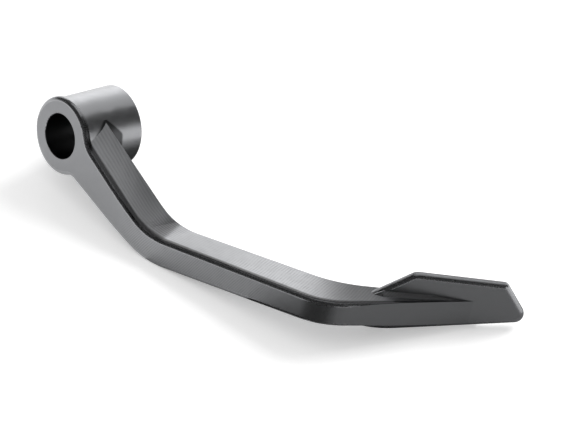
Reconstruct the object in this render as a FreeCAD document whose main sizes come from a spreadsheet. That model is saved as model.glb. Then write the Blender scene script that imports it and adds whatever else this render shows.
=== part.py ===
"""Brake lever guard: one milled aluminium piece.

A ring with a long barrel fits on the end of the handlebar. An arm leaves the ring's outer face,
bends up, sweeps inwards, and ends in an upright blade that stands in front of the lever's tip.

Own axes: Y is the bore's axis and points inwards, X points forwards along the arm, Z is up.
The finished piece is then laid down in the pose in which it comes to rest on a table.
All sizes are millimetres and degrees.
"""
import FreeCAD, Part
import Sketcher
import math
import os

doc = FreeCAD.newDocument("brake_lever_guard")

# Driving dimensions
DRIVING = [
    # ring and barrel on the bar end
    ("ring_dia", 30.0),
    ("bore_dia", 17.3),
    ("bore_edge", 0.25),
    ("barrel_length", 27.6),
    ("barrel_step", 0.73),
    ("barrel_flare", 1.01),
    ("barrel_edge", 0.4),
    ("plate_depth", 2.35),
    # arm seen along the bore: two straight runs and a bend
    ("neck_top_angle", 22.3),
    ("neck_top_offset", 8.95),
    ("neck_low_angle", 14.15),
    ("neck_low_offset", 9.05),
    ("neck_top_radius", 10.0),
    ("neck_low_radius", 5.0),
    ("bend_top_x", 54.4),
    ("bend_low_x", 56.2),
    ("bend_top_radius", 28.0),
    ("bend_low_radius", 36.0),
    ("rise_top_angle", 9.95),
    ("rise_low_angle", 10.85),
    # arm seen from above: outer face, then inner face
    ("outer_turn_x", 46.0),
    ("outer_sweep", 9.93),
    ("outer_turn_radius", 150.0),
    ("curve_x", 135.75),
    ("curve_radius", 20.5),
    ("run_angle", 61.0),
    ("facet_angle", 64.4),
    ("root_depth", 15.2),
    ("web_depth", 16.3),
    ("inner_turn_x", 47.9),
    ("inner_sweep", 12.7),
    ("inner_turn_radius", 57.0),
    ("inner_curve_x", 123.8),
    ("inner_curve_radius", 34.0),
    ("inner_run_angle", 47.0),
    ("edge_round", 1.65),
    # flat on the underside of the bend: it rises inwards, so the piece rests on its outer edge
    ("under_start", 30.0),
    ("under_pitch", 20.0),
    ("under_drop", 23.4),
    ("under_length", 88.0),
    # gusset: the web's top rises to a ridge where it meets the barrel, and the ridge fades at the bend
    ("gusset_near_x", 5.0),
    ("gusset_near_y", 10.7),
    ("gusset_near_rise", 5.12),
    ("gusset_far_y", 16.2),
    ("gusset_far_rise", 0.3),
    # blade: it starts at the merge, where the arm's facet runs out into the blade's face
    ("merge_run", 56.2),
    ("arm_end", 4.5),
    ("blade_angle", 51.15),
    ("blade_thick", 4.0),
    ("lead_back", 22.94),
    ("lead_height", 6.77),
    ("lead_radius", 5.0),
    ("tip_top_reach", 10.9),
    ("tip_top_height", 8.85),
    ("tip_top_radius", 2.0),
    ("tip_corner_reach", 22.2),
    ("tip_corner_drop", 4.91),
    ("tip_corner_radius", 3.5),
    ("heel_back", 38.2),
    ("heel_drop", 20.3),
    ("heel_radius", 40.0),
    ("heel_root_back", 56.0),
    ("heel_root_drop", 13.4),
    ("lead_root_back", 40.0),
    ("lead_root_drop", 6.84),
    ("blade_round", 1.65),
    ("foot_facet", 1.7),
    ("foot_facet_mid", 1.4),
    ("foot_facet_thin", 0.1),
    ("foot_start", 36.0),
    ("foot_full", 33.0),
    ("foot_turn", 16.0),
    ("foot_end", 5.5),
    # pose at rest
    ("rest_tilt", 15.0539),
    ("rest_roll", -0.5797),
]

# Sizes that follow from the driving dimensions
DERIVED = [
    ("ring_radius", "ring_dia / 2"),
    ("bore_radius", "bore_dia / 2"),
    ("barrel_root_radius", "ring_dia / 2 - barrel_step"),
    ("barrel_end_radius", "barrel_root_radius + barrel_flare"),
    ("zero", "0"),
    ("neck_top_z", "neck_top_offset / cos(neck_top_angle)"),
    ("neck_low_z", "0 - neck_low_offset / cos(neck_low_angle)"),
    ("bend_top_z", "neck_top_z - bend_top_x * tan(neck_top_angle)"),
    ("bend_low_z", "neck_low_z - bend_low_x * tan(neck_low_angle)"),
    ("curve_y", "(curve_x - outer_turn_x) * tan(outer_sweep)"),
    ("facet_shift",
     "curve_radius * (tan((facet_angle - outer_sweep) / 2) - tan((run_angle - outer_sweep) / 2))"),
    ("facet_x", "curve_x + facet_shift * cos(outer_sweep)"),
    ("facet_y", "curve_y + facet_shift * sin(outer_sweep)"),
    ("facet_out_x", "facet_x + ring_dia * sin(facet_angle)"),
    ("facet_out_y", "facet_y - ring_dia * cos(facet_angle)"),
    ("merge_x", "facet_x + merge_run * cos(facet_angle)"),
    ("merge_y", "facet_y + merge_run * sin(facet_angle)"),
    ("merge_z", "bend_top_z + (merge_x - bend_top_x) * tan(rise_top_angle)"),
    ("stop_x", "merge_x + blade_thick / 2 * cos(facet_angle)"),
    ("stop_y", "merge_y + blade_thick / 2 * sin(facet_angle)"),
    ("end_in_x", "merge_x + arm_end * cos(blade_angle) - 0.65 * blade_thick * sin(blade_angle)"),
    ("end_in_y", "merge_y + arm_end * sin(blade_angle) + 0.65 * blade_thick * cos(blade_angle)"),
    ("end_back_x", "merge_x + arm_end * cos(blade_angle) - ring_radius * sin(blade_angle)"),
    ("end_back_y", "merge_y + arm_end * sin(blade_angle) + ring_radius * cos(blade_angle)"),
    ("end_far_x", "end_back_x + 2 * ring_dia"),
    ("end_far_y", "end_back_y + ring_dia"),
    ("run_length", "merge_run + 2 * arm_end"),
    ("run_end_x", "curve_x + run_length * cos(run_angle)"),
    ("run_end_y", "curve_y + run_length * sin(run_angle)"),
    ("inner_curve_y", "web_depth + (inner_curve_x - inner_turn_x) * tan(inner_sweep)"),
    ("inner_end_x", "end_in_x + 0.2 * arm_end"),
    ("inner_end_y", "inner_curve_y + (inner_end_x - inner_curve_x) * tan(inner_run_angle)"),
    ("profile_end_x", "run_end_x + ring_dia"),
    ("profile_end_top_z", "bend_top_z + (profile_end_x - bend_top_x) * tan(rise_top_angle)"),
    ("profile_end_low_z", "bend_low_z + (profile_end_x - bend_low_x) * tan(rise_low_angle)"),
    ("arm_width", "run_end_y + ring_dia"),
    ("stock_x", "0 - ring_dia"),
    ("stock_far_x", "profile_end_x + ring_dia"),
    ("stock_y", "0 - ring_dia"),
    ("stock_far_y", "arm_width + ring_dia"),
    ("under_near_z", "stock_y * tan(under_pitch) - under_drop"),
    ("under_far_z", "stock_far_y * tan(under_pitch) - under_drop"),
    ("under_floor_z", "under_near_z - ring_dia"),
    ("plate_end_x", "ring_dia"),
    ("plate_end_top_z", "neck_top_z - plate_end_x * tan(neck_top_angle)"),
    ("plate_end_low_z", "neck_low_z - plate_end_x * tan(neck_low_angle)"),
    ("gusset_sink", "edge_round"),
    ("gusset_near_z", "neck_top_z - gusset_near_x * tan(neck_top_angle)"),
    ("gusset_near_top", "gusset_near_z + gusset_near_rise"),
    ("gusset_near_low", "gusset_near_z - gusset_sink"),
    ("gusset_near_back", "gusset_near_y + 0.6 * (gusset_near_rise + gusset_sink)"),
    ("gusset_far_top", "bend_top_z + gusset_far_rise"),
    ("gusset_far_low", "bend_top_z - gusset_sink"),
    ("gusset_far_back", "gusset_far_y + 0.5 * gusset_far_rise"),
    ("lead_k", "0 - lead_back"),
    ("tip_corner_z", "0 - tip_corner_drop"),
    ("heel_k", "0 - heel_back"),
    ("heel_z", "0 - heel_drop"),
    ("heel_root_k", "0 - heel_root_back"),
    ("heel_root_z", "0 - heel_root_drop"),
    ("lead_root_k", "0 - lead_root_back"),
    ("lead_root_z", "0 - lead_root_drop"),
    ("foot_in", "0.15 * blade_thick"),
]

# Sections of the facet along the blade's foot: name, distance from the merge, width
FOOT = [
    ("foot_a", "foot_start", "foot_facet_thin"),
    ("foot_b", "foot_full", "foot_facet"),
    ("foot_c", "foot_turn", "foot_facet_mid"),
    ("foot_d", "foot_end", "foot_facet_thin"),
]
for name, back, width in FOOT:
    along = "0 - %s * cos(blade_angle)" % back
    DERIVED.append((name + "_out", "0 - " + width))
    DERIVED.append((name + "_web", "(%s + %s * sin(blade_angle)) * tan(rise_top_angle)" % (along, width)))
    DERIVED.append((name + "_top", "(%s) * tan(rise_top_angle) + %s" % (along, width)))
    DERIVED.append((name + "_deep", "%s_web - 0.5 * blade_thick" % name))


def sheet_of_dimensions():
    """Fill a spreadsheet: driving cells hold plain numbers, derived cells hold formulas."""
    sheet = doc.addObject("Spreadsheet::Sheet", "dims")
    row = 0
    for name, value in DRIVING:
        row += 1
        sheet.set("A%d" % row, name)
        sheet.set("B%d" % row, "%s" % value)
        sheet.setAlias("B%d" % row, name)
    for name, formula in DERIVED:
        row += 1
        sheet.set("A%d" % row, name)
        sheet.set("B%d" % row, "=" + formula)
        sheet.setAlias("B%d" % row, name)
    doc.recompute()
    return sheet


dims = sheet_of_dimensions()


def size(name):
    """The number that a cell of the sheet holds."""
    return float(dims.get(name))


def new_body(name):
    """A body with its origin."""
    body = doc.addObject("PartDesign::Body", name)
    doc.recompute()
    return body


def sketch_on(body, name, role):
    """A sketch on one of the body's own origin planes."""
    sketch = body.newObject("Sketcher::SketchObject", name)
    plane = [item for item in body.Origin.OriginFeatures if item.Role == role][0]
    sketch.AttachmentSupport = [(plane, "")]
    sketch.MapMode = "FlatFace"
    return sketch


def bind(sketch, index, formula):
    """Tie a constraint's value to the sheet."""
    sketch.setExpression("Constraints[%d]" % index, formula)


def locate(sketch, geometry, point, corner):
    """Place a point of the sketch at a corner whose coordinates are two cells of the sheet."""
    for kind, axis, cell in (("DistanceX", -2, corner[0]), ("DistanceY", -1, corner[1])):
        if cell == "zero":
            sketch.addConstraint(Sketcher.Constraint("PointOnObject", geometry, point, axis))
            continue
        item = sketch.addConstraint(
            Sketcher.Constraint(kind, -1, 1, geometry, point, size(cell)))
        bind(sketch, item, "dims." + cell)


def outline(sketch, corners):
    """Draw a closed outline. A corner is (x cell, y cell) or (x cell, y cell, radius cell)."""
    count = len(corners)
    place = [FreeCAD.Vector(size(c[0]), size(c[1]), 0) for c in corners]
    entry = []
    leave = []
    for i, corner in enumerate(corners):
        before = (place[i - 1] - place[i]).normalize()
        after = (place[(i + 1) % count] - place[i]).normalize()
        reach = 0.0
        if len(corner) > 2:
            reach = size(corner[2]) / math.tan(before.getAngle(after) / 2)
        entry.append(place[i] + before * reach)
        leave.append(place[i] + after * reach)
    lines = []
    for i in range(count):
        segment = Part.LineSegment(leave[i], entry[(i + 1) % count])
        lines.append(sketch.addGeometry(segment, False))
    for i, corner in enumerate(corners):
        line_in = lines[i - 1]
        line_out = lines[i]
        if len(corner) == 2:
            sketch.addConstraint(Sketcher.Constraint("Coincident", line_in, 2, line_out, 1))
            locate(sketch, line_out, 1, corner)
            continue
        before = (place[i - 1] - place[i]).normalize()
        after = (place[(i + 1) % count] - place[i]).normalize()
        radius = size(corner[2])
        half_turn = before.getAngle(after) / 2
        centre = place[i] + (before + after).normalize() * (radius / math.sin(half_turn))
        first = math.atan2(entry[i].y - centre.y, entry[i].x - centre.x)
        last = math.atan2(leave[i].y - centre.y, leave[i].x - centre.x)
        left_turn = before.cross(after).z < 0
        if not left_turn:
            first, last = last, first
        circle = Part.Circle(centre, FreeCAD.Vector(0, 0, 1), radius)
        arc = sketch.addGeometry(Part.ArcOfCircle(circle, first, last), False)
        start, end = (1, 2) if left_turn else (2, 1)
        mark = sketch.addGeometry(Part.Point(place[i]), True)
        locate(sketch, mark, 1, corner)
        sketch.addConstraint(Sketcher.Constraint("Tangent", line_in, 2, arc, start))
        sketch.addConstraint(Sketcher.Constraint("Tangent", arc, end, line_out, 1))
        sketch.addConstraint(Sketcher.Constraint("PointOnObject", mark, 1, line_in))
        sketch.addConstraint(Sketcher.Constraint("PointOnObject", mark, 1, line_out))
        rounding = sketch.addConstraint(Sketcher.Constraint("Radius", arc, radius))
        bind(sketch, rounding, "dims." + corner[2])
    return sketch


def circle_at_origin(sketch, radius_cell):
    """A circle round the sketch's origin."""
    circle = Part.Circle(FreeCAD.Vector(0, 0, 0), FreeCAD.Vector(0, 0, 1), size(radius_cell))
    item = sketch.addGeometry(circle, False)
    sketch.addConstraint(Sketcher.Constraint("Coincident", item, 3, -1, 1))
    radius = sketch.addConstraint(Sketcher.Constraint("Radius", item, size(radius_cell)))
    bind(sketch, radius, "dims." + radius_cell)
    return sketch


def neck_outline(sketch):
    """Outline of the front plate: the ring, and the arm's root blended into it."""
    ring = size("ring_radius")
    centres = []
    for side, angle_cell, offset_cell, radius_cell in (
            (1, "neck_top_angle", "neck_top_offset", "neck_top_radius"),
            (-1, "neck_low_angle", "neck_low_offset", "neck_low_radius")):
        angle = math.radians(size(angle_cell))
        normal = FreeCAD.Vector(math.sin(angle), math.cos(angle), 0) * side
        along = FreeCAD.Vector(math.cos(angle), -math.sin(angle), 0)
        radius = size(radius_cell)
        height = size(offset_cell) + radius
        centre = normal * height + along * math.sqrt((ring + radius) ** 2 - height ** 2)
        centres.append((centre, radius, centre * (ring / (ring + radius)), centre - normal * radius))
    top, low = centres
    upward = FreeCAD.Vector(0, 0, 1)
    turn = [math.atan2(side[2].y, side[2].x) for side in centres]
    rim = sketch.addGeometry(
        Part.ArcOfCircle(Part.Circle(FreeCAD.Vector(0, 0, 0), upward, ring), turn[0], turn[1]), False)
    from_ring = (top[2] - top[0])
    from_line = (top[3] - top[0])
    top_arc = sketch.addGeometry(
        Part.ArcOfCircle(Part.Circle(top[0], upward, top[1]),
                         math.atan2(from_ring.y, from_ring.x),
                         math.atan2(from_line.y, from_line.x)), False)
    from_ring = (low[2] - low[0])
    from_line = (low[3] - low[0])
    low_arc = sketch.addGeometry(
        Part.ArcOfCircle(Part.Circle(low[0], upward, low[1]),
                         math.atan2(from_line.y, from_line.x),
                         math.atan2(from_ring.y, from_ring.x)), False)
    end_low = FreeCAD.Vector(size("plate_end_x"), size("plate_end_low_z"), 0)
    end_top = FreeCAD.Vector(size("plate_end_x"), size("plate_end_top_z"), 0)
    low_line = sketch.addGeometry(Part.LineSegment(low[3], end_low), False)
    end_line = sketch.addGeometry(Part.LineSegment(end_low, end_top), False)
    top_line = sketch.addGeometry(Part.LineSegment(end_top, top[3]), False)
    sketch.addConstraint(Sketcher.Constraint("Coincident", rim, 3, -1, 1))
    sketch.addConstraint(Sketcher.Constraint("Tangent", rim, 1, top_arc, 1))
    sketch.addConstraint(Sketcher.Constraint("Tangent", rim, 2, low_arc, 2))
    sketch.addConstraint(Sketcher.Constraint("Tangent", low_arc, 1, low_line, 1))
    sketch.addConstraint(Sketcher.Constraint("Tangent", top_line, 2, top_arc, 2))
    sketch.addConstraint(Sketcher.Constraint("Coincident", low_line, 2, end_line, 1))
    sketch.addConstraint(Sketcher.Constraint("Coincident", end_line, 2, top_line, 1))
    locate(sketch, end_line, 1, ("plate_end_x", "plate_end_low_z"))
    locate(sketch, end_line, 2, ("plate_end_x", "plate_end_top_z"))
    for line, cell in ((low_line, "neck_low_z"), (top_line, "neck_top_z")):
        mark = sketch.addGeometry(Part.Point(FreeCAD.Vector(0, size(cell), 0)), True)
        locate(sketch, mark, 1, ("zero", cell))
        sketch.addConstraint(Sketcher.Constraint("PointOnObject", mark, 1, line))
    for arc, cell in ((rim, "ring_radius"), (top_arc, "neck_top_radius"), (low_arc, "neck_low_radius")):
        item = sketch.addConstraint(Sketcher.Constraint("Radius", arc, size(cell)))
        bind(sketch, item, "dims." + cell)
    return sketch


def turn_to_blade(sketch, deep_cell, height_cell, back=None):
    """Turn a sketch's plane about the vertical and carry it to the merge, or back along the blade."""
    sketch.AttachmentOffset = FreeCAD.Placement(
        FreeCAD.Vector(0, 0, 0), FreeCAD.Rotation(FreeCAD.Vector(0, 1, 0), size("blade_angle")))
    sketch.setExpression(".AttachmentOffset.Rotation.Angle", "dims.blade_angle")
    sketch.setExpression(".AttachmentOffset.Base.x", deep_cell)
    sketch.setExpression(".AttachmentOffset.Base.y", "dims.merge_z")
    sketch.setExpression(".AttachmentOffset.Base.z", height_cell)
    return sketch


def pad(body, name, sketch, length, reverse=False):
    """Raise a sketch into the solid. The length is a formula on the sheet's cells."""
    feature = body.newObject("PartDesign::Pad", name)
    feature.Profile = sketch
    feature.Type = "Length"
    feature.setExpression("Length", length)
    feature.Reversed = reverse
    doc.recompute()
    return feature


def pocket(body, name, sketch, length, both_ways=False, reverse=False):
    """Cut a sketch out of the solid, and make sure that it took something away."""
    before = body.Shape.Volume
    feature = body.newObject("PartDesign::Pocket", name)
    feature.Profile = sketch
    feature.Type = "Length"
    feature.setExpression("Length", length)
    feature.Midplane = both_ways
    feature.Reversed = reverse
    doc.recompute()
    if body.Shape.Volume >= before:
        raise ValueError(name + " cuts nothing")
    return feature


def dress(body, kind, name, edges, property_name, formula):
    """Round or bevel the named edges of the body's solid."""
    base = body.Tip
    feature = body.newObject("PartDesign::" + kind, name)
    feature.Base = (base, edges)
    feature.setExpression(property_name, formula)
    doc.recompute()
    return feature


def faces_of(shape, edge):
    """The faces that meet in an edge."""
    return [face for face in shape.Faces if any(edge.isSame(other) for other in face.Edges)]


def normal_of(face):
    """A face's outward normal at its middle."""
    u_low, u_high, v_low, v_high = face.ParameterRange
    return face.normalAt((u_low + u_high) / 2, (v_low + v_high) / 2)


def fuse(body, name, other):
    """Join another body's solid to this one."""
    feature = body.newObject("PartDesign::Boolean", name)
    feature.setObjects([other])
    feature.Type = 0
    doc.recompute()
    return feature


# The gusset: ruled from a section inside the barrel to one at the bend
gusset = new_body("root_gusset")
near = sketch_on(gusset, "gusset_near", "YZ_Plane")
near.setExpression(".AttachmentOffset.Base.z", "dims.gusset_near_x")
outline(near, [
    ("plate_depth", "gusset_near_low"),
    ("gusset_near_back", "gusset_near_low"),
    ("gusset_near_y", "gusset_near_top"),
    ("plate_depth", "gusset_near_z"),
])
far = sketch_on(gusset, "gusset_far", "YZ_Plane")
far.setExpression(".AttachmentOffset.Base.z", "dims.bend_top_x")
outline(far, [
    ("plate_depth", "gusset_far_low"),
    ("gusset_far_back", "gusset_far_low"),
    ("gusset_far_y", "gusset_far_top"),
    ("plate_depth", "bend_top_z"),
])
doc.recompute()
feature = gusset.newObject("PartDesign::AdditiveLoft", "gusset_loft")
feature.Profile = near
feature.Sections = [far]
feature.Ruled = True
doc.recompute()

# The blade: an upright plate, rounded all round on both sides
blade = new_body("blade_plate")
sketch = sketch_on(blade, "blade_outline", "XZ_Plane")
turn_to_blade(sketch, "dims.merge_x", "0 - dims.merge_y")
outline(sketch, [
    ("heel_root_k", "heel_root_z"),
    ("heel_k", "heel_z", "heel_radius"),
    ("tip_corner_reach", "tip_corner_z", "tip_corner_radius"),
    ("tip_top_reach", "tip_top_height", "tip_top_radius"),
    ("lead_k", "lead_height", "lead_radius"),
    ("lead_root_k", "lead_root_z"),
])
pad(blade, "blade_slab", sketch, "dims.blade_thick", reverse=True)
rims = []
for number, edge in enumerate(blade.Shape.Edges, 1):
    ends = [vertex.Point for vertex in edge.Vertexes]
    if len(ends) == 2 and abs((ends[0] - ends[1]).normalize().z) < 1e-6:
        across = (ends[0] - ends[1]).normalize()
        angle = math.radians(size("blade_angle"))
        if abs(across.dot(FreeCAD.Vector(math.sin(angle), -math.cos(angle), 0))) > 0.99:
            continue
    rims.append("Edge%d" % number)
dress(blade, "Fillet", "blade_rounding", rims, "Radius", "dims.blade_round")

# The guard itself
guard = new_body("guard_arm")
sketch = sketch_on(guard, "arm_profile", "XZ_Plane")
outline(sketch, [
    ("zero", "neck_low_z"),
    ("bend_low_x", "bend_low_z", "bend_low_radius"),
    ("profile_end_x", "profile_end_low_z"),
    ("profile_end_x", "profile_end_top_z"),
    ("bend_top_x", "bend_top_z", "bend_top_radius"),
    ("zero", "neck_top_z"),
])
pad(guard, "arm_slab", sketch, "dims.arm_width", reverse=True)

sketch = sketch_on(guard, "plan_cut", "XY_Plane")
outline(sketch, [
    ("stock_x", "stock_y"),
    ("stock_far_x", "stock_y"),
    ("stock_far_x", "stock_far_y"),
    ("stock_x", "stock_far_y"),
])
outline(sketch, [
    ("zero", "zero"),
    ("outer_turn_x", "zero", "outer_turn_radius"),
    ("curve_x", "curve_y", "curve_radius"),
    ("run_end_x", "run_end_y"),
    ("inner_end_x", "inner_end_y"),
    ("inner_curve_x", "inner_curve_y", "inner_curve_radius"),
    ("inner_turn_x", "web_depth", "inner_turn_radius"),
    ("zero", "root_depth"),
])
pocket(guard, "arm_plan", sketch, "10 * dims.ring_dia", both_ways=True)

sketch = sketch_on(guard, "plate_outline", "XZ_Plane")
neck_outline(sketch)
pad(guard, "ring_plate", sketch, "dims.plate_depth", reverse=True)

sketch = sketch_on(guard, "barrel_profile", "XY_Plane")
outline(sketch, [
    ("zero", "zero"),
    ("barrel_root_radius", "zero"),
    ("barrel_root_radius", "plate_depth"),
    ("barrel_end_radius", "barrel_length"),
    ("zero", "barrel_length"),
])
feature = guard.newObject("PartDesign::Revolution", "barrel")
feature.Profile = sketch
feature.ReferenceAxis = (sketch, ["V_Axis"])
feature.Angle = 360
doc.recompute()

# Rounding along the outer face's edges, ring included
shape = guard.Shape
fronts = [face for face in shape.Faces if abs(normal_of(face).z) < 1e-6 and normal_of(face).y < -0.3]
rims = []
for number, edge in enumerate(shape.Edges, 1):
    holders = [face for face in fronts if any(edge.isSame(other) for other in face.Edges)]
    ends = [vertex.Point for vertex in edge.Vertexes]
    upright = len(ends) == 2 and abs((ends[0] - ends[1]).normalize().z) > 0.999
    if len(holders) == 1 and not upright:
        rims.append("Edge%d" % number)
dress(guard, "Fillet", "outer_rounding", rims, "Radius", "dims.edge_round")

sketch = sketch_on(guard, "underside_cut", "YZ_Plane")
sketch.setExpression(".AttachmentOffset.Base.z", "dims.under_start")
outline(sketch, [
    ("stock_y", "under_floor_z"),
    ("stock_far_y", "under_floor_z"),
    ("stock_far_y", "under_far_z"),
    ("stock_y", "under_near_z"),
])
pocket(guard, "underside_flat", sketch, "dims.under_length", reverse=True)

# Flat facet along the arm's last run, and the arm's end inside the blade
sketch = sketch_on(guard, "facet_cut", "XY_Plane")
outline(sketch, [
    ("facet_x", "facet_y"),
    ("facet_out_x", "facet_out_y"),
    ("end_far_x", "facet_out_y"),
    ("end_far_x", "end_far_y"),
    ("end_back_x", "end_back_y"),
    ("end_in_x", "end_in_y"),
    ("stop_x", "stop_y"),
])
pocket(guard, "run_facet", sketch, "10 * dims.ring_dia", both_ways=True)

fuse(guard, "with_gusset", gusset)

fuse(guard, "with_blade", blade)

# Facet between the web's top and the blade's face
sections = []
for name, back, width in FOOT:
    sketch = sketch_on(guard, name + "_section", "YZ_Plane")
    turn_to_blade(sketch, "dims.merge_y - dims.%s * sin(dims.blade_angle)" % back,
                  "dims.merge_x - dims.%s * cos(dims.blade_angle)" % back)
    outline(sketch, [
        (name + "_out", name + "_deep"),
        ("foot_in", name + "_deep"),
        ("foot_in", name + "_top"),
        ("zero", name + "_top"),
        (name + "_out", name + "_web"),
    ])
    sections.append(sketch)
doc.recompute()
feature = guard.newObject("PartDesign::AdditiveLoft", "foot_facet_loft")
feature.Profile = sections[0]
feature.Sections = sections[1:]
feature.Ruled = True
doc.recompute()

# Bore
sketch = sketch_on(guard, "bore_circle", "XZ_Plane")
circle_at_origin(sketch, "bore_radius")
pocket(guard, "bore", sketch, "4 * dims.barrel_length", both_ways=True)

# Small bevels: both ends of the bore and the barrel's far rim
shape = guard.Shape
bores = []
rims = []
for number, edge in enumerate(shape.Edges, 1):
    if not hasattr(edge.Curve, "Radius") or len(edge.Vertexes) > 1:
        continue
    radius = edge.Curve.Radius
    if abs(radius - size("bore_radius")) < 1e-4:
        bores.append("Edge%d" % number)
    elif abs(radius - size("barrel_end_radius")) < 1e-4:
        rims.append("Edge%d" % number)
dress(guard, "Chamfer", "bore_bevels", bores, "Size", "dims.bore_edge")
shape = guard.Shape
rims = []
for number, edge in enumerate(shape.Edges, 1):
    if not hasattr(edge.Curve, "Radius") or len(edge.Vertexes) > 1:
        continue
    if abs(edge.Curve.Radius - size("barrel_end_radius")) < 1e-4:
        rims.append("Edge%d" % number)
dress(guard, "Chamfer", "barrel_bevel", rims, "Size", "dims.barrel_edge")

# Lay the piece down as it rests
guard.Placement = FreeCAD.Placement(
    FreeCAD.Vector(0, 0, 0),
    FreeCAD.Rotation(FreeCAD.Vector(0, 1, 0), size("rest_roll")).multiply(
        FreeCAD.Rotation(FreeCAD.Vector(1, 0, 0), -size("rest_tilt"))))
doc.recompute()
box = guard.Shape.optimalBoundingBox(False)
guard.Placement.Base = FreeCAD.Vector(-box.Center.x, -box.Center.y, -box.ZMin)
doc.recompute()

# Check and write
for item in doc.Objects:
    if "Invalid" in item.State or "Error" in item.State:
        raise ValueError(item.Name + " did not compute")
solid = guard.Shape
if solid.isNull() or not solid.isValid() or len(solid.Solids) != 1:
    raise ValueError("the guard is not one sound solid")
os.makedirs("parts", exist_ok=True)
solid.exportStep("parts/guard_arm.step")
box = solid.optimalBoundingBox(False)
print("guard_arm", box, "volume", round(solid.Volume), "mass g", round(solid.Volume * 2.7e-3, 1))
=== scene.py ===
"""Look of the brake lever guard: dark grey anodised aluminium over fine milling lines.

The piece lies on a pale floor under soft studio light, and the camera sees it from the photograph's angle.
The file is laid out as an add-on: sizes and colours are properties, each group of pieces is an operator.
"""
import bpy
import bmesh
import math
from mathutils import Vector, Matrix, kdtree


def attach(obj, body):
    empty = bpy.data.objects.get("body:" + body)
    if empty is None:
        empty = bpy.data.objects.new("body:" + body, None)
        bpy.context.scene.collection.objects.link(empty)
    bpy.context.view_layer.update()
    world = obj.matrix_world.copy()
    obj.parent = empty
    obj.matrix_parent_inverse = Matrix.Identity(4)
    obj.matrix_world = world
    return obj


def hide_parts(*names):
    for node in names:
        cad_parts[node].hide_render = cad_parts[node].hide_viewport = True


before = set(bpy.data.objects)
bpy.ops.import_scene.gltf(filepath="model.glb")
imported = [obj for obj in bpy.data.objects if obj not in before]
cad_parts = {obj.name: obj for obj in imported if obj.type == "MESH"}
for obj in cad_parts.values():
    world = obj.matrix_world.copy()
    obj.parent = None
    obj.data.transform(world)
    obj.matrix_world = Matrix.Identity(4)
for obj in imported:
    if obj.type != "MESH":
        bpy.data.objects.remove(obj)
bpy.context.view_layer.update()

bl_info = {
    "name": "Brake lever guard",
    "version": (1, 0, 0),
    "blender": (4, 5, 0),
    "location": "View3D > Sidebar > Lever Guard",
    "description": "Dresses the packed guard and sets its studio",
    "category": "Object",
}

# Pose of the lying piece: its own axes have the bore along Y and the arm along X
REST_TILT = math.radians(15.0539)
REST_ROLL = math.radians(-0.5797)
RING_CENTRE = Vector((-0.0786627, -0.0385569, 0.0218045))

# Sizes of the solid in its own axes, in millimetres, which tell its regions apart
BORE_RADIUS = 8.65
BARREL_RADIUS = 14.0
PLATE_DEPTH = 2.35
BARREL_LENGTH = 27.6
BARREL_LIMIT = 20.0
EDGE_ROUND = 1.65
FIRST_TURN = 46.0
FIRST_SWEEP = math.radians(9.93)
CURVE_X = 135.75
CURVE_RADIUS = 20.5
RUN_ANGLE = math.radians(61.0)
BLADE_ANGLE = math.radians(51.15)

# Normal of the cutter's planes that leave the lines across the arm, in the piece's own axes
CROSS_NORMAL = (0.785, 0.362, -0.503)

# Slant along that normal at which the arm's top turns from painted shade to light at the first bend, in
# millimetres; the painted shade stands in for a dark reflection
BEND_SHADE_STEP = 55.0

# Radius at which the barrel is unrolled, and the gusset's border there as (arc, depth) in millimetres
UNROLL_RADIUS = 14.5
GUSSET_FOOT = (2.8, 4.1)
GUSSET_PEAK = (11.3, 12.0)
# Share of painted shade in the crease beside the gusset, on the barrel
CREASE_SHADE_DEPTH = 0.78

# Camera's axes in the piece's own axes, and the middle of its view from the ring's centre in metres
CAMERA_BACK = (0.60317975, -0.6462873, 0.46742584)
CAMERA_RIGHT = (0.63517313, 0.74366988, 0.208591)
CAMERA_UP = (-0.48242024, 0.17107847, 0.85907094)
CAMERA_ELEVATION = math.radians(38.65)
AIM_ACROSS = -0.08458
AIM_INWARD = 0.01909
AIM_ABOVE = 0.02234

# Width of the dark strip of painted shade along the outer face's upper edge, in millimetres, and its depth; the
# shade is a painted dark reflection on the rounding
RIM_SHADE_WIDTH = 3.3
RIM_SHADE_DEPTH = 0.8

# Numbers of the solid's regions, in the order of their materials
PLAIN, FRONT, WEB, TURNED, BORE, BLADE = range(6)

# Floor and key lamp
FLOOR_COLOUR = (0.9, 0.9, 0.9, 1.0)
FLOOR_ROUGHNESS = 0.7
FLOOR_SIDE = 6.0
KEY_PLACE = (0.05, 0.98, 0.85)
KEY_WIDTH = 0.8
KEY_HEIGHT = 0.7

# Edges sharper than this stay sharp in the smooth-shaded copy
SHARP_ANGLE = math.radians(24)


def own_axes():
    """Matrix that turns the piece's own axes (bore along Y, arm along X) into the lying pose."""
    return Matrix.Rotation(REST_ROLL, 3, "Y") @ Matrix.Rotation(-REST_TILT, 3, "X")


class GuardFinish(bpy.types.PropertyGroup):
    """Colours and pattern sizes of the anodised aluminium."""
    anodised: bpy.props.FloatVectorProperty(
        name="Anodised colour", description="Base colour of the dark anodised surface",
        subtype="COLOR", size=3, min=0.0, max=1.0, default=(0.33, 0.334, 0.345))
    roughness: bpy.props.FloatProperty(
        name="Roughness", description="Roughness of the milled faces",
        subtype="FACTOR", min=0.0, max=1.0, default=0.36)
    length_pitch: bpy.props.FloatProperty(
        name="Lengthwise pitch", description="Distance between the lines along the arm, in millimetres",
        subtype="NONE", default=1.25)
    cross_pitch: bpy.props.FloatProperty(
        name="Crosswise pitch", description="Distance between the lines across the arm, in millimetres",
        subtype="NONE", default=0.9)


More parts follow.
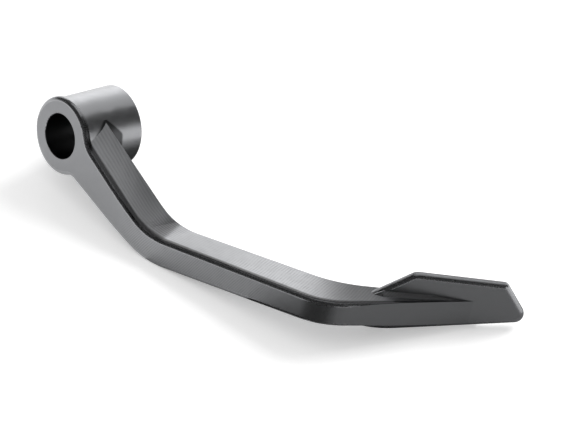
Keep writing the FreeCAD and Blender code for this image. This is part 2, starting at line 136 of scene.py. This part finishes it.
class StudioSettings(bpy.types.PropertyGroup):
    """Camera distance and lamp strengths."""
    camera_distance: bpy.props.FloatProperty(
        name="Camera distance", description="From the camera to the floor point that it looks at",
        subtype="DISTANCE", unit="LENGTH", default=1.8)
    lens: bpy.props.FloatProperty(
        name="Lens", description="Focal length on a 36 mm sensor",
        subtype="NONE", default=302.8)
    key_power: bpy.props.FloatProperty(
        name="Key lamp", description="Power of the lamp that throws the shadow, in watts",
        subtype="NONE", default=13.0)
    ambient: bpy.props.FloatProperty(
        name="Ambient", description="Strength of the surroundings' diffuse light",
        subtype="NONE", default=0.66)
    floor_lift: bpy.props.FloatProperty(
        name="Floor lift", description="Light that the camera sees from the floor itself",
        subtype="FACTOR", min=0.0, max=1.0, default=0.33)


def new_material(name):
    """An empty node material with its output and shader."""
    material = bpy.data.materials.new(name)
    material.use_nodes = True
    nodes = material.node_tree.nodes
    nodes.clear()
    out = nodes.new("ShaderNodeOutputMaterial")
    shader = nodes.new("ShaderNodeBsdfPrincipled")
    material.node_tree.links.new(shader.outputs["BSDF"], out.inputs["Surface"])
    return material, nodes, material.node_tree.links, shader


def new_group(name, inputs, outputs):
    """A node group with float, vector or colour sockets, its input and output nodes, and its links."""
    kinds = {"float": "NodeSocketFloat", "vector": "NodeSocketVector", "color": "NodeSocketColor"}
    tree = bpy.data.node_groups.new(name, "ShaderNodeTree")
    for socket, kind, value in inputs:
        item = tree.interface.new_socket(socket, in_out="INPUT", socket_type=kinds[kind])
        item.default_value = value
    for socket, kind in outputs:
        tree.interface.new_socket(socket, in_out="OUTPUT", socket_type=kinds[kind])
    source = tree.nodes.new("NodeGroupInput")
    sink = tree.nodes.new("NodeGroupOutput")
    return tree, tree.nodes, tree.links, source, sink


def maths(nodes, links, kind, first, second=None):
    """A maths node fed by sockets or plain numbers; gives its output."""
    node = nodes.new("ShaderNodeMath")
    node.operation = kind
    for slot, value in ((0, first), (1, second)):
        if value is None:
            continue
        if isinstance(value, (int, float)):
            node.inputs[slot].default_value = value
        else:
            links.new(value, node.inputs[slot])
    return node.outputs["Value"]


def ramp(nodes, links, value, low, high):
    """A smooth step that rises from 0 at low to 1 at high; gives its output."""
    node = nodes.new("ShaderNodeMapRange")
    node.interpolation_type = "SMOOTHSTEP"
    for name, item in (("Value", value), ("From Min", low), ("From Max", high)):
        if isinstance(item, (int, float)):
            node.inputs[name].default_value = item
        else:
            links.new(item, node.inputs[name])
    return node.outputs["Result"]


def seen_directly(nodes, links):
    """1 for what the camera sees straight, in a reflection or through glass, and 0 for the light that it gives."""
    rays = nodes.new("ShaderNodeLightPath")
    seen = maths(nodes, links, "MAXIMUM", rays.outputs["Is Camera Ray"], rays.outputs["Is Glossy Ray"])
    return maths(nodes, links, "MAXIMUM", seen, rays.outputs["Is Transmission Ray"])


def line_group():
    """Node group: one family of milling lines, its height swinging about zero."""
    tree, nodes, links, source, sink = new_group(
        "milling_lines",
        [("Place", "float", 0.0), ("Pitch", "float", 1.0), ("Wander", "float", 0.0), ("Depth", "float", 0.01)],
        [("Height", "float")])
    turns = maths(nodes, links, "DIVIDE", source.outputs["Place"], source.outputs["Pitch"])
    turns = maths(nodes, links, "ADD", turns, source.outputs["Wander"])
    angle = maths(nodes, links, "MULTIPLY", turns, 2 * math.pi)
    wave = maths(nodes, links, "SINE", angle)
    height = maths(nodes, links, "MULTIPLY", wave, source.outputs["Depth"])
    links.new(height, sink.inputs["Height"])
    return tree


def painted_bend_shade(nodes, links, source, slant, grain):
    """Share of painted shade before the ragged step at the first bend, a painted dark reflection on the arm's top;
    none where the depth is 0.
    """
    ragged = maths(nodes, links, "MULTIPLY", maths(nodes, links, "SUBTRACT", grain, 0.5), 4.0)
    past = maths(nodes, links, "SUBTRACT", slant, source.outputs["Dip Place"])
    past = maths(nodes, links, "ADD", past, ragged)
    rise = ramp(nodes, links, past, -9.0, -2.0)
    fall = ramp(nodes, links, past, -0.7, 0.9)
    dip = maths(nodes, links, "SUBTRACT", rise, fall)
    return maths(nodes, links, "MULTIPLY", dip, source.outputs["Dip Depth"])


def painted_rim_shade(nodes, links, source, lane, along):
    """Factor of painted shade on a strip behind the outer face's upper edge, from the ring to the blade: a painted
    dark reflection on the rounding and the web's edge.
    """
    rim = source.outputs["Rim Width"]
    inside = ramp(nodes, links, lane, maths(nodes, links, "SUBTRACT", rim, 1.0), rim)
    band = maths(nodes, links, "SUBTRACT", 1.0, inside)
    for value, low, high in ((lane, 0.5, 1.1), (along, 6.0, 14.0), (along, 162.0, 154.0)):
        band = maths(nodes, links, "MULTIPLY", band, ramp(nodes, links, value, low, high))
    return maths(nodes, links, "SUBTRACT", 1.0, maths(nodes, links, "MULTIPLY", band, RIM_SHADE_DEPTH))


def surface_group(lines):
    """Node group: anodised aluminium with lines along and across the arm, a fine grain and dark strips of painted
    shade; the lines also carry painted shade in the colour.
    """
    tree, nodes, links, source, sink = new_group(
        "anodised_surface",
        [("Colour", "color", (0.3, 0.3, 0.3, 1.0)), ("Roughness", "float", 0.36),
         ("Length Pitch", "float", 1.25), ("Length Depth", "float", 0.0), ("Length From", "float", -500.0),
         ("Length To", "float", 500.0), ("Cross Pitch", "float", 0.9), ("Cross Depth", "float", 0.0),
         ("Cross From", "float", -500.0), ("Cross To", "float", 500.0), ("Grain", "float", 0.3),
         ("Tint", "float", 9.0), ("Dip Place", "float", -900.0), ("Dip Depth", "float", 0.0),
         ("Rim Width", "float", -900.0)],
        [("Base Color", "color"), ("Roughness", "float"), ("Height", "float")])
    own = nodes.new("ShaderNodeAttribute")
    own.attribute_name = "own_place"
    lane = nodes.new("ShaderNodeAttribute")
    lane.attribute_name = "lane"
    split = nodes.new("ShaderNodeSeparateXYZ")
    links.new(own.outputs["Vector"], split.inputs["Vector"])
    slant = nodes.new("ShaderNodeVectorMath")
    slant.operation = "DOT_PRODUCT"
    slant.inputs[1].default_value = CROSS_NORMAL
    links.new(own.outputs["Vector"], slant.inputs[0])
    noises = []
    for scale, detail in ((0.08, 1.0), (0.35, 2.0), (5.0, 2.0)):
        noise = nodes.new("ShaderNodeTexNoise")
        noise.inputs["Scale"].default_value = scale
        noise.inputs["Detail"].default_value = detail
        links.new(own.outputs["Vector"], noise.inputs["Vector"])
        noises.append(noise)
    drift, patch, grain = noises
    lively = ramp(nodes, links, patch.outputs["Fac"], 0.2, 0.75)

    heights = []
    for side, place in (("Length", lane.outputs["Fac"]), ("Cross", slant.outputs["Value"])):
        begin = source.outputs[side + " From"]
        end = source.outputs[side + " To"]
        rise = ramp(nodes, links, split.outputs["X"], begin, maths(nodes, links, "ADD", begin, 12.0))
        fall = ramp(nodes, links, split.outputs["X"], maths(nodes, links, "SUBTRACT", end, 12.0), end)
        mask = maths(nodes, links, "SUBTRACT", rise, fall)
        depth = maths(nodes, links, "MULTIPLY", source.outputs[side + " Depth"], mask)
        depth = maths(nodes, links, "MULTIPLY", depth, maths(nodes, links, "ADD", lively, 0.5))
        family = nodes.new("ShaderNodeGroup")
        family.node_tree = lines
        links.new(place, family.inputs["Place"])
        links.new(source.outputs[side + " Pitch"], family.inputs["Pitch"])
        links.new(drift.outputs["Fac"], family.inputs["Wander"])
        links.new(depth, family.inputs["Depth"])
        heights.append(family.outputs["Height"])
    milled = maths(nodes, links, "ADD", heights[0], heights[1])
    speck = maths(nodes, links, "SUBTRACT", grain.outputs["Fac"], 0.5)
    speck = maths(nodes, links, "MULTIPLY", speck, source.outputs["Grain"])
    fine = maths(nodes, links, "MULTIPLY", speck, 0.01)
    links.new(maths(nodes, links, "ADD", milled, fine), sink.inputs["Height"])

    # the milling lines are real grooves, given by the bump; their swing in colour is painted shade and sheen
    shade = maths(nodes, links, "MULTIPLY", milled, source.outputs["Tint"])
    shade = maths(nodes, links, "ADD", shade, speck)
    shade = maths(nodes, links, "ADD", shade, 1.0)
    # painted shade on the arm's top before the first bend, standing in for a dark reflection
    dip = painted_bend_shade(nodes, links, source, slant.outputs["Value"], grain.outputs["Fac"])
    shade = maths(nodes, links, "SUBTRACT", shade, dip)
    # painted shade on the strip behind the outer face's upper edge, a painted dark reflection on its rounding
    rim = painted_rim_shade(nodes, links, source, lane.outputs["Fac"], split.outputs["X"])
    shade = maths(nodes, links, "MULTIPLY", shade, rim)
    grained_and_shaded = nodes.new("ShaderNodeVectorMath")
    grained_and_shaded.operation = "SCALE"
    links.new(source.outputs["Colour"], grained_and_shaded.inputs[0])
    links.new(shade, grained_and_shaded.inputs["Scale"])
    links.new(grained_and_shaded.outputs["Vector"], sink.inputs["Base Color"])
    rough = maths(nodes, links, "MULTIPLY", maths(nodes, links, "SUBTRACT", lively, 0.5), 0.05)
    links.new(maths(nodes, links, "ADD", source.outputs["Roughness"], rough), sink.inputs["Roughness"])
    return tree


def anodised(name, surface, colour, roughness, **settings):
    """A material made from the anodised surface group."""
    material, nodes, links, shader = new_material(name)
    skin = nodes.new("ShaderNodeGroup")
    skin.node_tree = surface
    skin.inputs["Colour"].default_value = (*colour, 1.0)
    skin.inputs["Roughness"].default_value = roughness
    for key, value in settings.items():
        skin.inputs[key.replace("_", " ").title()].default_value = value
    bump = nodes.new("ShaderNodeBump")
    bump.inputs["Strength"].default_value = 1.0
    bump.inputs["Distance"].default_value = 0.001
    links.new(skin.outputs["Height"], bump.inputs["Height"])
    links.new(skin.outputs["Base Color"], shader.inputs["Base Color"])
    links.new(skin.outputs["Roughness"], shader.inputs["Roughness"])
    links.new(bump.outputs["Normal"], shader.inputs["Normal"])
    shader.inputs["Metallic"].default_value = 1.0
    return material


def root_shade(material):
    """Paint shade on the turned barrel in the crease beside the gusset."""
    nodes = material.node_tree.nodes
    links = material.node_tree.links
    skin = next(node for node in nodes if node.type == "GROUP")
    shader = next(node for node in nodes if node.type == "BSDF_PRINCIPLED")
    own = nodes.new("ShaderNodeAttribute")
    own.attribute_name = "own_place"
    split = nodes.new("ShaderNodeSeparateXYZ")
    links.new(own.outputs["Vector"], split.inputs["Vector"])
    arc = maths(nodes, links, "ARCTAN2", split.outputs["Z"], split.outputs["X"])
    arc = maths(nodes, links, "MULTIPLY", arc, UNROLL_RADIUS)
    depth = split.outputs["Y"]
    foot_arc, foot_depth = GUSSET_FOOT
    peak_arc, peak_depth = GUSSET_PEAK
    # beside the gusset's near border, from its foot to its peak on the unrolled barrel
    length = math.hypot(peak_arc - foot_arc, peak_depth - foot_depth)
    rise = maths(nodes, links, "MULTIPLY", maths(nodes, links, "SUBTRACT", arc, foot_arc),
                 (peak_depth - foot_depth) / length)
    run = maths(nodes, links, "MULTIPLY", maths(nodes, links, "SUBTRACT", depth, foot_depth),
                (peak_arc - foot_arc) / length)
    near = maths(nodes, links, "SUBTRACT", rise, run)
    near = maths(nodes, links, "SUBTRACT", 1.0, ramp(nodes, links, near, 0.5, 1.7))
    near = maths(nodes, links, "MULTIPLY", near, maths(nodes, links, "LESS_THAN", depth, peak_depth))
    # behind its far border, out to the line from the peak down the barrel
    far = maths(nodes, links, "SUBTRACT", depth, peak_depth)
    far = maths(nodes, links, "SUBTRACT", far, maths(nodes, links, "SUBTRACT", peak_arc, arc))
    far = maths(nodes, links, "SUBTRACT", 1.0, ramp(nodes, links, far, -0.3, 0.9))
    far = maths(nodes, links, "MULTIPLY", far, maths(nodes, links, "GREATER_THAN", depth, peak_depth))
    # faded out towards the barrel's end, and kept off its top and its underside
    lower = maths(nodes, links, "SUBTRACT", 1.0, ramp(nodes, links, depth, 17.6, 18.8))
    far = maths(nodes, links, "MULTIPLY", far, lower)
    upper = maths(nodes, links, "LESS_THAN", arc, peak_arc + 0.3)
    crease_shade = maths(nodes, links, "MULTIPLY", maths(nodes, links, "MAXIMUM", near, far), upper)
    crease_shade = maths(nodes, links, "MULTIPLY", crease_shade, maths(nodes, links, "GREATER_THAN", arc, -6.0))
    factor = maths(nodes, links, "SUBTRACT", 1.0, maths(nodes, links, "MULTIPLY", crease_shade, CREASE_SHADE_DEPTH))
    scaled = nodes.new("ShaderNodeVectorMath")
    scaled.operation = "SCALE"
    links.new(skin.outputs["Base Color"], scaled.inputs[0])
    links.new(factor, scaled.inputs["Scale"])
    links.new(scaled.outputs["Vector"], shader.inputs["Base Color"])


def front_path():
    """Points along the outer face seen from above, in the piece's own axes, in millimetres."""
    slope = math.tan(FIRST_SWEEP)
    corner = Vector((CURVE_X, (CURVE_X - FIRST_TURN) * slope))
    half = (RUN_ANGLE - FIRST_SWEEP) / 2
    reach = CURVE_RADIUS * math.tan(half)
    begin = corner - Vector((math.cos(FIRST_SWEEP), math.sin(FIRST_SWEEP))) * reach
    centre = begin + Vector((-math.sin(FIRST_SWEEP), math.cos(FIRST_SWEEP))) * CURVE_RADIUS
    points = [Vector((x, 0)) for x in range(-16, int(FIRST_TURN))]
    count = int(begin.x - FIRST_TURN)
    for step in range(count):
        x = FIRST_TURN + (begin.x - FIRST_TURN) * step / count
        points.append(Vector((x, (x - FIRST_TURN) * slope)))
    for step in range(60):
        angle = FIRST_SWEEP + (RUN_ANGLE - FIRST_SWEEP) * step / 60
        points.append(centre + Vector((math.sin(angle), -math.cos(angle))) * CURVE_RADIUS)
    end = centre + Vector((math.sin(RUN_ANGLE), -math.cos(RUN_ANGLE))) * CURVE_RADIUS
    for step in range(80):
        points.append(end + Vector((math.cos(RUN_ANGLE), math.sin(RUN_ANGLE))) * step)
    return points


class GUARD_OT_finish(bpy.types.Operator):
    """Give the guard its anodised aluminium"""
    bl_idname = "guard.finish"
    bl_label = "Anodised finish"

    def execute(self, context):
        look = context.scene.guard_finish
        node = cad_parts["guard_arm"]
        shape = bmesh.new()
        shape.from_mesh(node.data)
        shape.transform(node.matrix_world)
        bmesh.ops.remove_doubles(shape, verts=shape.verts, dist=1e-6)
        if not shape.faces:
            self.report({"ERROR"}, "the guard's mesh is empty")
            return {"CANCELLED"}
        mesh = bpy.data.meshes.new("anodised_guard")
        back = own_axes().transposed()
        for face in shape.faces:
            face.smooth = True
            face.material_index = self.region(back @ (face.calc_center_median() - RING_CENTRE) * 1000,
                                              back @ face.normal)
        for edge in shape.edges:
            if len(edge.link_faces) == 2 and edge.calc_face_angle() > SHARP_ANGLE:
                edge.smooth = False
        shape.to_mesh(mesh)
        shape.free()
        self.measure(mesh, back)
        guard = bpy.data.objects.new("anodised_guard", mesh)
        context.scene.collection.objects.link(guard)
        for material in self.materials(look):
            mesh.materials.append(material)
        weight = guard.modifiers.new("face_weights", "WEIGHTED_NORMAL")
        weight.mode = "FACE_AREA"
        weight.weight = 100
        weight.keep_sharp = True
        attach(guard, "root")
        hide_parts("guard_arm")
        return {"FINISHED"}

    def region(self, place, normal):
        """Number of the material of a face, from its middle and its normal in the piece's own axes."""
        radius = math.hypot(place.x, place.z)
        outward = (place.x * normal.x + place.z * normal.z) / max(radius, 1e-6)
        # the bore's wall looks at its axis
        if radius < BORE_RADIUS + 0.1 and outward < -0.4:
            return BORE
        # the barrel's wall looks away from it, and its end looks back
        if place.y > PLATE_DEPTH and BARREL_RADIUS < radius < BARREL_LIMIT and outward > 0.9:
            return TURNED
        if normal.y > 0.9 and place.y > BARREL_LENGTH - 0.5:
            return TURNED
        # upright faces that look forward; the blade's is told by its angle
        if abs(normal.z) < 0.02 and normal.y < -0.3:
            blade = Vector((math.sin(BLADE_ANGLE), -math.cos(BLADE_ANGLE), 0))
            return BLADE if normal.dot(blade) > 0.9998 else FRONT
        # the arm's wide top, behind the rounding
        if normal.z > 0.72 and place.x > 5 and place.y > EDGE_ROUND + 0.01:
            return WEB
        return PLAIN

    def measure(self, mesh, back):
        """Store each point's own place and its distance from the outer face, in millimetres."""
        path = front_path()
        tree = kdtree.KDTree(len(path))
        for number, point in enumerate(path):
            tree.insert((point.x, point.y, 0), number)
        tree.balance()
        places = []
        lanes = []
        for vertex in mesh.vertices:
            place = back @ (vertex.co - RING_CENTRE) * 1000
            places.extend(place)
            _, number, _ = tree.find((place.x, place.y, 0))
            after = path[min(number + 1, len(path) - 1)]
            before = path[max(number - 1, 0)]
            along = (after - before).normalized()
            aside = Vector((-along.y, along.x))
            lanes.append(aside.dot(Vector((place.x, place.y)) - path[number]))
        own = mesh.attributes.new("own_place", "FLOAT_VECTOR", "POINT")
        own.data.foreach_set("vector", places)
        lane = mesh.attributes.new("lane", "FLOAT", "POINT")
        lane.data.foreach_set("value", lanes)

    def materials(self, look):
        """The materials in the order of the region numbers, each a finish whose colour share is painted light and
        shade.
        """
        surface = surface_group(line_group())
        colour = look.anodised
        rough = look.roughness
        lengthwise = look.length_pitch
        across = look.cross_pitch
        finishes_and_shades = []
        # The shares scale the one anodised colour per region: painted light and shade that set each region's
        # brightness, darker on the front, blade and bore and lighter on the turned barrel; the bore's is painted
        # shade inside the hole. The plain and web settings also place the painted shade strips
        for name, share, roughness, settings in (
                ("plain", 1.0, rough - 0.1, {"grain": 0.03, "rim_width": RIM_SHADE_WIDTH}),
                ("front", 0.82, rough, {"grain": 0.08, "cross_pitch": 0.88 * across, "cross_depth": 0.012,
                                        "cross_from": 38.0, "cross_to": 118.0}),
                ("web", 1.0, rough, {"grain": 0.1, "length_pitch": lengthwise, "length_depth": 0.009,
                                     "length_from": -20.0, "length_to": 150.0, "cross_pitch": across,
                                     "cross_depth": 0.011, "cross_from": 84.0, "cross_to": 150.0,
                                     "dip_place": BEND_SHADE_STEP, "dip_depth": 0.55, "rim_width": RIM_SHADE_WIDTH}),
                ("turned", 1.15, rough - 0.06, {"grain": 0.0}),
                ("bore", 0.12, rough, {"grain": 0.0}),
                ("blade", 0.87, rough, {"grain": 0.05})):
            tone = [value * share for value in colour]
            finishes_and_shades.append(anodised("anodised_" + name, surface, tone, roughness, **settings))
        root_shade(finishes_and_shades[TURNED])
        return finishes_and_shades


class GUARD_OT_studio(bpy.types.Operator):
    """Floor, white surroundings, lamps, cards and camera"""
    bl_idname = "guard.studio"
    bl_label = "Studio"

    def execute(self, context):
        studio = context.scene.guard_studio
        scene = context.scene
        floor = self.sheet("floor", (0, 0, 0), (0, 0, 1), FLOOR_SIDE, FLOOR_SIDE)
        material, nodes, links, shader = new_material("floor_white")
        shader.inputs["Base Color"].default_value = FLOOR_COLOUR
        shader.inputs["Roughness"].default_value = FLOOR_ROUGHNESS
        shader.inputs["Emission Color"].default_value = (1, 1, 1, 1)
        lift = maths(nodes, links, "MULTIPLY", seen_directly(nodes, links), studio.floor_lift)
        links.new(lift, shader.inputs["Emission Strength"])
        floor.data.materials.append(material)
        self.surroundings(scene, studio)
        self.lamp("key_softbox", KEY_PLACE, KEY_WIDTH, KEY_HEIGHT, studio.key_power)
        self.cards()
        self.camera(scene, studio)
        scene.view_settings.view_transform = "Standard"
        return {"FINISHED"}

    def surroundings(self, scene, studio):
        """White for what the camera and the metal see, and a plain level of light for the rest."""
        world = bpy.data.worlds.new("studio_world")
        scene.world = world
        world.use_nodes = True
        nodes = world.node_tree.nodes
        links = world.node_tree.links
        background = nodes["Background"]
        background.inputs["Color"].default_value = (1, 1, 1, 1)
        level = nodes.new("ShaderNodeMapRange")
        level.inputs["To Min"].default_value = studio.ambient
        level.inputs["To Max"].default_value = 1.0
        links.new(seen_directly(nodes, links), level.inputs["Value"])
        links.new(level.outputs["Result"], background.inputs["Strength"])

    def cards(self):
        """Black cards and a bright screen that only the metal's reflections see."""
        tones = {}
        for tone, name, albedo, roughness, emission in (
                ("black", "card_black", 0.06, 1.0, 0.0),
                ("shade", "card_shade", 0.3, 1.0, 0.0),
                ("half", "card_half", 0.8, 1.0, 0.0),
                ("grey", "card_grey", 0.0, 0.5, 0.64),
                ("bright", "screen_bright", 0.0, 0.5, 1.9)):
            material, _, _, shader = new_material(name)
            shader.inputs["Base Color"].default_value = (albedo, albedo, albedo, 1.0)
            shader.inputs["Roughness"].default_value = roughness
            shader.inputs["Emission Color"].default_value = (1, 1, 1, 1)
            shader.inputs["Emission Strength"].default_value = emission
            tones[tone] = material
        for name, place, facing, width, tall, tone in (
                ("card_ceiling", (0.0, -0.42, 0.62), (0, 0, -1), 1.8, 0.75, "black"),
                ("card_ceiling_right", (0.5, 0.35, 0.62), (0, 0, -1), 0.86, 0.8, "black"),
                ("card_ceiling_left", (-0.74, 0.35, 0.62), (0, 0, -1), 0.54, 0.8, "black"),
                ("card_overhead", (-0.2, 0.57, 0.62), (0, 0, -1), 0.52, 1.16, "grey"),
                ("card_back_right", (0.42, 0.67, 0.41), (-0.47, -0.75, -0.46), 0.75, 0.58, "black"),
                ("card_front_right", (0.663, -0.556, 0.248), (-0.737, 0.618, -0.276), 1.1, 0.7, "black"),
                ("card_front_left", (-0.72, -0.336, 0.423), (0.8, 0.373, -0.47), 1.2, 0.6, "black"),
                ("card_front", (0.0, -0.78, 0.45), (0, 0.866, -0.5), 1.5, 0.9, "black"),
                ("screen_back_left", (-0.538, 0.688, 0.218), (0.597, -0.765, -0.242), 0.75, 0.5, "bright"),
                ("flag_bend", (-0.045, 0.006, 0.04), (0.42, -0.79, -0.44), 0.022, 0.022, "black"),
                ("flag_blade", (0.02, 0.075, 0.02), (0.73, -0.69, 0), 0.09, 0.06, "shade"),
                ("table_front", (0.05, -0.12, 0.0006), (0, 0, 1), 0.056, 0.18, "black"),
                ("table_middle", (0.0, -0.12, 0.0003), (0, 0, 1), 0.045, 0.18, "half"),
                ("table_right", (0.175, -0.02, 0.0004), (0, 0, 1), 0.25, 0.2, "shade"),
                ("table_barrel", (-0.07, -0.008, 0.0005), (0, 0, 1), 0.045, 0.05, "black"),
                ("table_neck", (-0.036, 0.012, 0.0002), (0, 0, 1), 0.03, 0.07, "shade"),
                ("flag_curve", (0.068, -0.066, 0.02), (-0.5, 0.866, 0), 0.06, 0.04, "black")):
            card = self.sheet(name, place, facing, width, tall)
            card.data.materials.append(tones[tone])
            card.visible_camera = False
            card.visible_diffuse = False
            card.visible_shadow = False
            card.visible_transmission = False

    def sheet(self, name, place, facing, width, height):
        """A flat rectangle of the studio, facing one way."""
        if abs(Vector(facing).normalized().z) > 0.999:
            turn = Matrix.Identity(4)
        else:
            turn = Vector(facing).to_track_quat("Z", "Y").to_matrix().to_4x4()
        matrix = Matrix.Translation(place) @ turn
        shape = bmesh.new()
        bmesh.ops.create_grid(shape, x_segments=1, y_segments=1, size=0.5)
        bmesh.ops.scale(shape, vec=(width, height, 1), verts=shape.verts)
        bmesh.ops.transform(shape, matrix=matrix, verts=shape.verts)
        mesh = bpy.data.meshes.new(name)
        shape.to_mesh(mesh)
        shape.free()
        sheet = bpy.data.objects.new(name, mesh)
        bpy.context.scene.collection.objects.link(sheet)
        return sheet

    def camera(self, scene, studio):
        """The photograph's camera, placed from the ring's centre and the piece's own axes."""
        turn = own_axes()
        back, right, up = (
            (turn @ Vector(axis)).normalized() for axis in (CAMERA_BACK, CAMERA_RIGHT, CAMERA_UP))
        lift = AIM_INWARD * math.sin(CAMERA_ELEVATION) + AIM_ABOVE * math.cos(CAMERA_ELEVATION)
        depth = AIM_INWARD * math.cos(CAMERA_ELEVATION) - AIM_ABOVE * math.sin(CAMERA_ELEVATION)
        eye = RING_CENTRE - right * AIM_ACROSS - up * lift + back * (depth + studio.camera_distance)
        data = bpy.data.cameras.new("camera")
        data.sensor_width = 36.0
        data.lens = studio.lens
        data.clip_start = 0.1
        data.clip_end = 20.0
        camera = bpy.data.objects.new("camera", data)
        camera.matrix_world = Matrix.Translation(eye) @ Matrix((right, up, back)).transposed().to_4x4()
        scene.collection.objects.link(camera)
        scene.camera = camera

    def lamp(self, name, place, width, height, power):
        """A rectangular softbox that looks at the piece; the metal sees the cards in its stead."""
        data = bpy.data.lights.new(name, "AREA")
        data.shape = "RECTANGLE"
        data.size = width
        data.size_y = height
        data.energy = power
        lamp = bpy.data.objects.new(name, data)
        lamp.location = place
        lamp.rotation_euler = (-Vector(place)).to_track_quat("-Z", "Y").to_euler()
        lamp.visible_glossy = False
        bpy.context.scene.collection.objects.link(lamp)


class GUARD_PT_panel(bpy.types.Panel):
    """Sidebar panel with the guard's operators and settings"""
    bl_idname = "GUARD_PT_panel"
    bl_label = "Brake lever guard"
    bl_space_type = "VIEW_3D"
    bl_region_type = "UI"
    bl_category = "Lever Guard"

    def draw(self, context):
        column = self.layout.column()
        for item in (GUARD_OT_finish, GUARD_OT_studio):
            column.operator(item.bl_idname)
        for name in ("anodised", "roughness", "length_pitch", "cross_pitch"):
            column.prop(context.scene.guard_finish, name)
        for name in ("camera_distance", "lens", "key_power", "ambient", "floor_lift"):
            column.prop(context.scene.guard_studio, name)


CLASSES = (GuardFinish, StudioSettings, GUARD_OT_finish, GUARD_OT_studio, GUARD_PT_panel)


def register():
    """Add the classes and their settings to Blender."""
    for item in CLASSES:
        bpy.utils.register_class(item)
    bpy.types.Scene.guard_finish = bpy.props.PointerProperty(type=GuardFinish)
    bpy.types.Scene.guard_studio = bpy.props.PointerProperty(type=StudioSettings)


def unregister():
    """Take them out again."""
    del bpy.types.Scene.guard_studio
    del bpy.types.Scene.guard_finish
    for item in reversed(CLASSES):
        bpy.utils.unregister_class(item)


def main():
    """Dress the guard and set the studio."""
    register()
    bpy.ops.guard.finish()
    bpy.ops.guard.studio()


if __name__ == "__main__":
    main()
